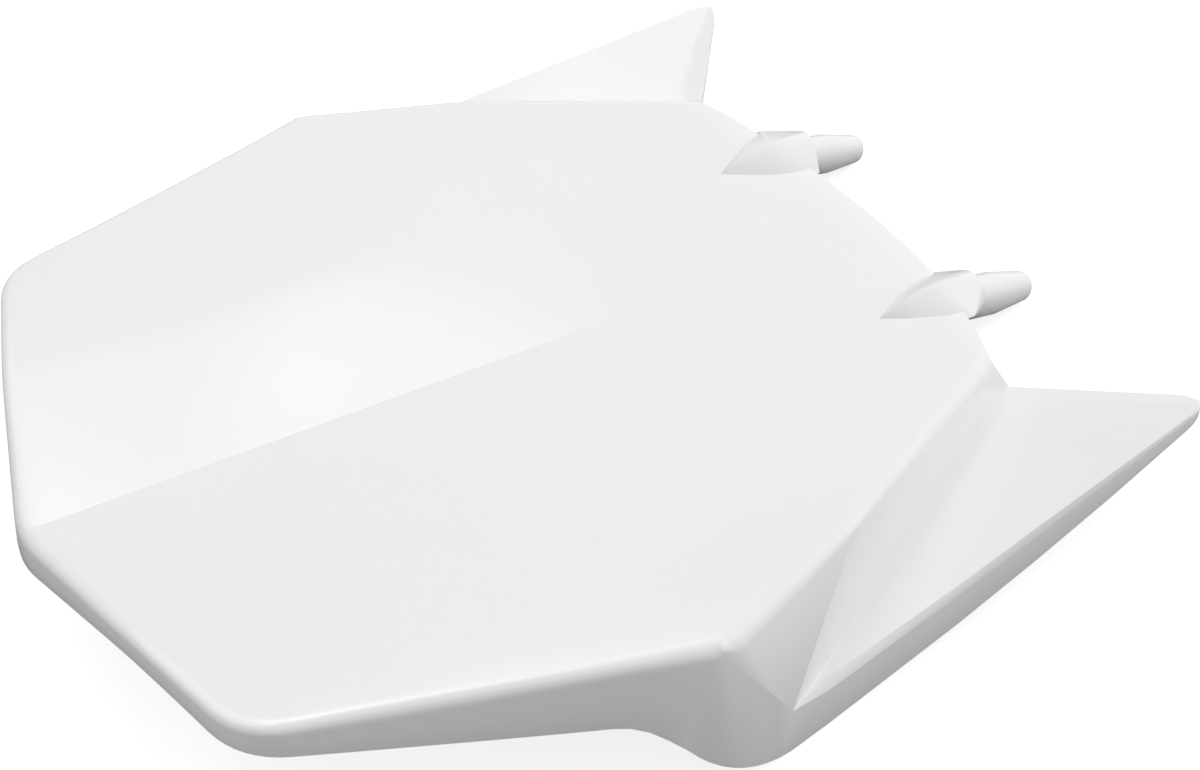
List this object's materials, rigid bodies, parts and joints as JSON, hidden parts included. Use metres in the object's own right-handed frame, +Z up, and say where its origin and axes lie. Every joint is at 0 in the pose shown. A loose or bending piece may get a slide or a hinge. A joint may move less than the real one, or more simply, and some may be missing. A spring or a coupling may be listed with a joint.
{
  "type": "racing number board",
  "caption": "Moulded front number board for a racing motorcycle, creased down the middle, with a deep skirt, a wing on each side and plug-in pegs.",
  "frame": {"origin": "on the ground, under the middle of the board's overall box", "axes": "+Y from the top edge towards the pegs, +Z up out of the number face, +X across the board"},
  "size_m": [0.2484, 0.2743, 0.0449],
  "materials": {
    "moulded_polypropylene": "gloss"
  },
  "bodies": {
    "root": {"number_board": "moulded_polypropylene"}
  },
  "joints": []
}
